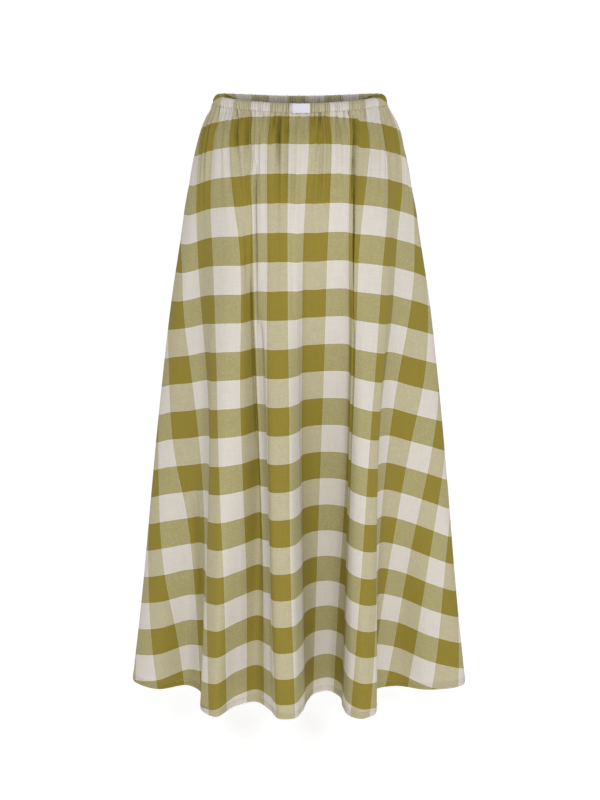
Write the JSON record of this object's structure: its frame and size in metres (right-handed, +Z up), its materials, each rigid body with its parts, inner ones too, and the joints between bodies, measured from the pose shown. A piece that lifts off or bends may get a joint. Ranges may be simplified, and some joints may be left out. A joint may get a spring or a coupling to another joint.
{
  "type": "maxi skirt",
  "caption": "Long A-line gingham skirt gathered on an elastic waist, hollow as when worn, with a turned hem and a small blank label.",
  "frame": {"origin": "middle of the waist opening, level with the casing at the centre front", "axes": "+Z up along the skirt towards the waist, -Y towards the skirt's front, +X towards the wearer's left"},
  "size_m": [0.5067, 0.3564, 0.8745],
  "materials": {
    "gingham_cloth": "woven cotton and viscose in olive and cream check, matt with a faint sheen",
    "elastic": "braided white elastic",
    "label_tape": "woven satin tape, blank"
  },
  "bodies": {
    "root": {"front_panel": "gingham_cloth", "back_panel": "gingham_cloth", "front_casing": "gingham_cloth", "back_casing": "gingham_cloth", "front_hem_turn": "gingham_cloth", "back_hem_turn": "gingham_cloth", "waist_elastic": "elastic", "label": "label_tape"}
  },
  "joints": []
}
